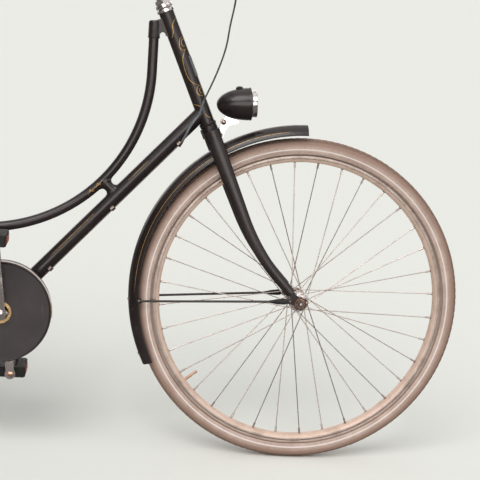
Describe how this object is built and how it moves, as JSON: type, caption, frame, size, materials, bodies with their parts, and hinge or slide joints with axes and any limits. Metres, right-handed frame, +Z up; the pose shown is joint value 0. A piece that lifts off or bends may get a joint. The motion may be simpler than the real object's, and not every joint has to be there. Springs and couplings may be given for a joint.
{
  "type": "step-through city bicycle",
  "caption": "Step-through city bicycle with a curved swan-neck tube, closed chain case, mudguards, headlamp and rear rack, leaning on its side stand.",
  "frame": {"origin": "on the floor, under the middle of the bicycle's box, as it leans on its stand", "axes": "+X towards the front wheel, +Y to the rider's left, +Z up from the floor"},
  "size_m": [1.8479, 0.5935, 1.1398],
  "materials": {
    "black_paint": "gloss black enamel",
    "case_paint": "satin charcoal enamel",
    "chrome": "bright chrome",
    "zinc_steel": "zinc plated",
    "wheel_alloy": "satin",
    "spoke_steel": "drawn wire",
    "tyre_rubber": "dusty brown rubber",
    "brass": "polished",
    "pale_trim": "gloss",
    "saddle_cover": "grained cover",
    "grip_rubber": "matt",
    "pedal_rubber": "matt",
    "cable_sleeve": "matt",
    "coat_guard": "satin",
    "lamp_glass": "clear",
    "red_lens": "ribbed"
  },
  "bodies": {
    "frame": {"head_tube": "black_paint", "swan_tube": "black_paint", "down_tube": "black_paint", "tube_brace": "black_paint", "seat_tube": "black_paint", "crank_shell": "black_paint", "chain_stays": "black_paint", "seat_stays": "black_paint", "rear_plates": "zinc_steel", "headset_cups": "chrome", "seat_post": "chrome", "saddle_rails": "chrome", "saddle_springs": "chrome", "saddle": "saddle_cover", "chain_case": "case_paint", "case_trim": "pale_trim", "case_ring": "brass", "rear_mudguard": "black_paint", "rear_guard_stays": "black_paint", "coat_guards": "coat_guard", "rack": "black_paint", "rack_legs": "black_paint", "rear_lamp": "red_lens", "rear_axle": "zinc_steel", "rear_brake": "zinc_steel", "brake_cable": "cable_sleeve", "cable_loop": "cable_sleeve", "stand_bracket": "zinc_steel"},
    "stand": {"stand_leg": "zinc_steel"},
    "steering": {"fork_crown": "black_paint", "fork_blades": "black_paint", "fork_ends": "black_paint", "headset_nut": "chrome", "stem": "chrome", "handlebar": "chrome", "grips": "grip_rubber", "brake_lever": "chrome", "bell": "chrome", "lamp_shell": "black_paint", "lamp_ring_front": "chrome", "lamp_lens": "lamp_glass", "lamp_bracket": "chrome", "front_mudguard": "black_paint", "front_guard_stays": "black_paint", "front_axle": "zinc_steel"},
    "front_wheel": {"front_tyre": "tyre_rubber", "front_rim": "wheel_alloy", "front_spokes": "spoke_steel", "front_hub": "chrome"},
    "rear_wheel": {"rear_tyre": "tyre_rubber", "rear_rim": "wheel_alloy", "rear_spokes": "spoke_steel", "rear_hub": "chrome"},
    "crank": {"cranks": "chrome"},
    "left_pedal": {"pedal_left": "pedal_rubber"},
    "right_pedal": {"pedal_right": "pedal_rubber"}
  },
  "joints": [
    {"name": "steer", "type": "hinge", "parent": "frame", "child": "steering", "pos_m": [0.34746, -0.03867, 0.72763], "axis": [-0.4051, 0.0956, 0.9092], "range_deg": [-60, 60], "deforming": ["cable_loop"]},
    {"name": "front_wheel_spin", "type": "hinge", "parent": "steering", "child": "front_wheel", "pos_m": [0.569, -0.07803, 0.35316], "axis": [0, 0.9945, -0.1045], "continuous": true},
    {"name": "rear_wheel_spin", "type": "hinge", "parent": "frame", "child": "rear_wheel", "pos_m": [-0.546, -0.07803, 0.35316], "axis": [0, 0.9945, -0.1045], "continuous": true},
    {"name": "crank_spin", "type": "hinge", "parent": "frame", "child": "crank", "pos_m": [-0.071, -0.08273, 0.30841], "axis": [0, 0.9945, -0.1045], "continuous": true},
    {"name": "left_pedal_spin", "type": "hinge", "parent": "crank", "child": "left_pedal", "pos_m": [-0.05323, 0.03883, 0.12563], "axis": [0, 0.9945, -0.1045], "continuous": true},
    {"name": "right_pedal_spin", "type": "hinge", "parent": "crank", "child": "right_pedal", "pos_m": [-0.08877, -0.20429, 0.49118], "axis": [0, 0.9945, -0.1045], "continuous": true},
    {"name": "stand_fold", "type": "hinge", "parent": "frame", "child": "stand", "pos_m": [-0.406, -0.01622, 0.30656], "axis": [0, 0.9925, 0.1219], "range_deg": [0, 95]}
  ]
}
